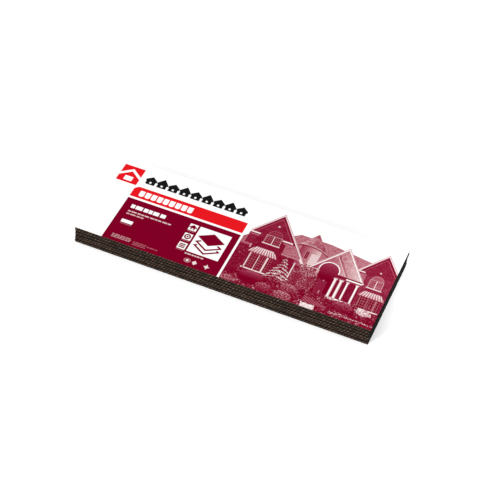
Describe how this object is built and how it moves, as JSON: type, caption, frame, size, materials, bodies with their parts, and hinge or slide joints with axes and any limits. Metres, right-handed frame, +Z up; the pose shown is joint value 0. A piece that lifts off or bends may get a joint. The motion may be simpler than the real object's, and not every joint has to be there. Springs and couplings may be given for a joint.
{
  "type": "asphalt shingle bundle",
  "caption": "Long flat bundle of laminated asphalt roofing shingles, nested in pairs, with brown granule edges and black cut ends under a printed paper label sheet.",
  "frame": {"origin": "on the floor under the middle of the bundle's footprint", "axes": "+X along the shingles, with the label read from the -Y side; +Y from the front long edge to the back one; +Z up"},
  "size_m": [1.0068, 0.3416, 0.07],
  "materials": {
    "shingle": "matte",
    "label": "satin"
  },
  "bodies": {
    "root": {"label_sheet": "label", "shingle_01": "shingle", "shingle_02": "shingle", "shingle_03": "shingle", "shingle_04": "shingle", "shingle_05": "shingle", "shingle_06": "shingle", "shingle_07": "shingle", "shingle_08": "shingle", "shingle_09": "shingle", "shingle_10": "shingle", "shingle_11": "shingle", "shingle_12": "shingle"}
  },
  "joints": []
}
